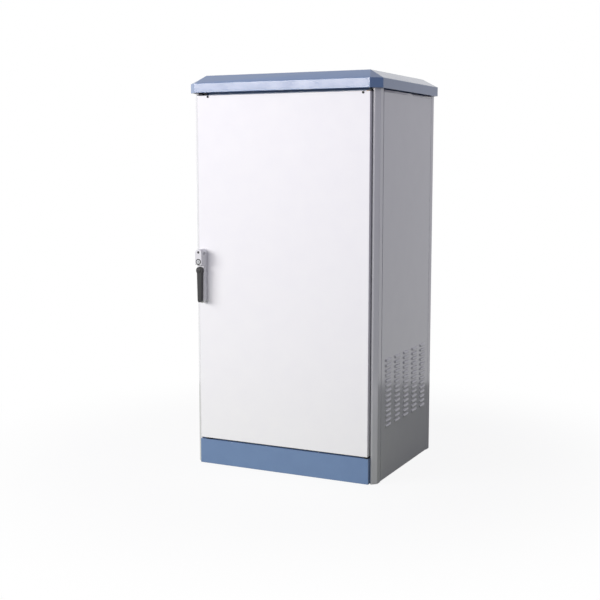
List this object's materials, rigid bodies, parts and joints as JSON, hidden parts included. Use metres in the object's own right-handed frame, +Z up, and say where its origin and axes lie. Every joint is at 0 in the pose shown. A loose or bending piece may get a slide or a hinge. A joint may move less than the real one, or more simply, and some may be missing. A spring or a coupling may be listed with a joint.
{
  "type": "roadside utility cabinet",
  "caption": "Tall sheet-steel outdoor equipment cabinet with a bevelled rain hood, louvred side panels, plinth cover and a hinged door with a swinging lever lock.",
  "frame": {"origin": "middle of the four anchor holes, in the plane of the foot flanges' underside", "axes": "+Z up, +X to the right seen from the front, the door faces -Y"},
  "size_m": [0.83, 0.7225, 1.583],
  "materials": {
    "white_paint": "semi-gloss powder coat",
    "grey_paint": "semi-gloss powder coat",
    "blue_paint": "semi-gloss powder coat",
    "zinc_sheet": "zinc-plated sheet",
    "bright_steel": "turned or drawn, plated",
    "cast_lock": "die-cast, silver-grey powder coat",
    "black_plastic": "moulded, fine grain",
    "rubber": "matt",
    "filter_mat": "non-woven mat",
    "earth_brass": "rolled or turned",
    "insulator_red": "moulded"
  },
  "bodies": {
    "cabinet": {"base_frame": "grey_paint", "floor_plate": "zinc_sheet", "cable_grommets": "rubber", "post_front_left": "grey_paint", "post_front_right": "grey_paint", "post_rear_left": "grey_paint", "post_rear_right": "grey_paint", "top_frame": "grey_paint", "top_plate": "zinc_sheet", "roof_brackets": "zinc_sheet", "roof_nuts": "bright_steel", "roof_hood": "blue_paint", "side_panel_left": "grey_paint", "side_panel_right": "grey_paint", "filter_frame_left": "zinc_sheet", "filter_frame_right": "zinc_sheet", "filter_left": "filter_mat", "filter_right": "filter_mat", "rear_panel": "grey_paint", "plinth_cover": "blue_paint", "rack_rail_front_left": "zinc_sheet", "rack_rail_front_right": "zinc_sheet", "rack_rail_rear_left": "zinc_sheet", "rack_rail_rear_right": "zinc_sheet", "rack_cross_bars": "zinc_sheet", "fan_housing_left": "black_plastic", "fan_housing_right": "black_plastic", "fan_guard_left": "bright_steel", "fan_guard_right": "bright_steel", "earth_bar": "earth_brass", "earth_insulators": "insulator_red", "earth_bolts": "bright_steel", "hinge_bracket_upper": "zinc_sheet", "hinge_bracket_lower": "zinc_sheet", "hinge_pin_upper": "bright_steel", "hinge_pin_lower": "bright_steel", "keeper_upper": "zinc_sheet", "keeper_lower": "zinc_sheet"},
    "door": {"door_skin": "white_paint", "door_stiffeners": "white_paint", "door_seal": "rubber", "door_plugs": "rubber", "hinge_bush_upper": "earth_brass", "hinge_bush_lower": "earth_brass", "rod_guides": "black_plastic", "lock_housing": "cast_lock"},
    "lever": {"lock_lever": "black_plastic", "lever_cap": "black_plastic", "lock_spindle": "bright_steel", "lock_cam": "zinc_sheet"},
    "key": {"key_cylinder": "bright_steel"},
    "rod_upper": {"rod_upper": "zinc_sheet"},
    "rod_lower": {"rod_lower": "zinc_sheet"},
    "fan_left": {"fan_rotor_left": "black_plastic"},
    "fan_right": {"fan_rotor_right": "black_plastic"}
  },
  "joints": [
    {"name": "door_hinge", "type": "hinge", "parent": "cabinet", "child": "door", "pos_m": [0.3625, -0.324, 0.8], "axis": [0, 0, 1], "range_deg": [0, 120]},
    {"name": "lever_turn", "type": "hinge", "parent": "door", "child": "lever", "pos_m": [-0.35, -0.361, 0.806], "axis": [0, -1, 0], "range_deg": [0, 90]},
    {"name": "key_turn", "type": "hinge", "parent": "door", "child": "key", "pos_m": [-0.35, -0.378, 0.842], "axis": [0, -1, 0], "range_deg": [0, 90]},
    {"name": "rod_upper_slide", "type": "slide", "parent": "door", "child": "rod_upper", "axis": [0, 0, 1], "range_m": [-0.0171, 0]},
    {"name": "rod_lower_slide", "type": "slide", "parent": "door", "child": "rod_lower", "axis": [0, 0, 1], "range_m": [0, 0.0171]},
    {"name": "fan_left_spin", "type": "hinge", "parent": "cabinet", "child": "fan_left", "pos_m": [-0.11, 0, 1.51], "axis": [0, 0, 1], "continuous": true},
    {"name": "fan_right_spin", "type": "hinge", "parent": "cabinet", "child": "fan_right", "pos_m": [0.11, 0, 1.51], "axis": [0, 0, 1], "continuous": true}
  ],
  "couplings": [
    {"joint": "rod_upper_slide", "follows": "lever_turn", "m_per_rad": -0.010804},
    {"joint": "rod_lower_slide", "follows": "lever_turn", "m_per_rad": 0.010804}
  ]
}
